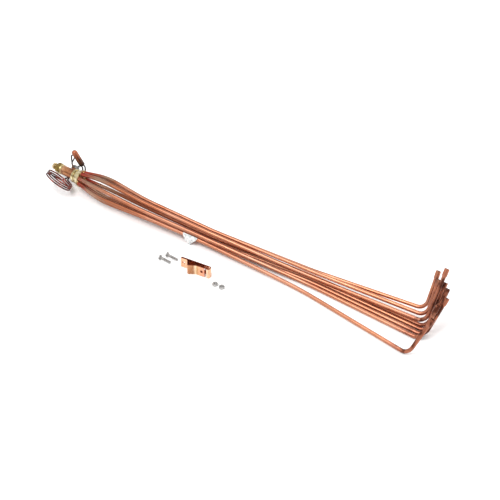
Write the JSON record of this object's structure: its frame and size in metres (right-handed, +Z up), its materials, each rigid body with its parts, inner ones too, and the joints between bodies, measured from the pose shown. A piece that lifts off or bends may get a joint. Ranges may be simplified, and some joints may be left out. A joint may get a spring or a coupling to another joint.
{
  "type": "refrigerant distributor assembly",
  "caption": "Refrigerant distributor with expansion valve, bent copper feeder tubes, sensing bulb on a coiled capillary, and a loose bulb clamp kit.",
  "frame": {"origin": "centre of the inlet bore at the nose face of the flare fitting", "axes": "+X along the valve and the feeder tubes away from the inlet, +Y to the side of the power head, +Z up"},
  "size_m": [0.7387, 0.1713, 0.0864],
  "materials": {
    "brass": "satin",
    "distributor_brass": "satin",
    "copper": "satin",
    "valve_copper": "satin",
    "dark_copper": "satin",
    "steel": "satin",
    "stainless": "satin",
    "braze": "satin",
    "zinc": "satin",
    "label": "matte"
  },
  "bodies": {
    "distributor_assembly": {"inlet_fitting": "brass", "inlet_strainer": "stainless", "valve_body": "valve_copper", "superheat_spring": "steel", "diaphragm": "stainless", "power_head_lower": "stainless", "power_head_upper": "stainless", "distributor_body": "distributor_brass", "distributor_nozzle": "brass", "nozzle_retainer": "steel", "braze_fillets": "braze", "feeder_tube_1": "copper", "feeder_tube_2": "copper", "feeder_tube_3": "copper", "feeder_tube_4": "copper", "feeder_tube_5": "copper", "feeder_tube_6": "copper", "feeder_tube_7": "copper", "feeder_tube_8": "copper", "capillary_tube": "dark_copper", "sensing_bulb": "copper", "charge_stub": "dark_copper", "label_flag": "label"},
    "pin_group": {"valve_pin": "stainless", "push_rod": "stainless", "buffer_plate": "stainless"},
    "strap": {"clamp_strap": "copper"},
    "saddle": {"clamp_saddle": "copper"},
    "screws": {"clamp_screws": "zinc"},
    "nuts": {"clamp_nuts": "zinc"}
  },
  "joints": [
    {"name": "pin_lift", "type": "slide", "parent": "distributor_assembly", "child": "pin_group", "axis": [0, -1, 0], "range_m": [0, 0.0008], "stiffness_N_per_m": 400},
    {"name": "strap_lift", "type": "slide", "parent": "distributor_assembly", "child": "strap", "axis": [0, 0, 1], "range_m": [0, 0.06]},
    {"name": "saddle_open", "type": "slide", "parent": "strap", "child": "saddle", "axis": [0.1392, -0.9903, 0], "range_m": [0, 0.012]},
    {"name": "screws_lift", "type": "slide", "parent": "distributor_assembly", "child": "screws", "axis": [0, 0, 1], "range_m": [0, 0.06]},
    {"name": "nuts_lift", "type": "slide", "parent": "distributor_assembly", "child": "nuts", "axis": [0, 0, 1], "range_m": [0, 0.06]}
  ]
}
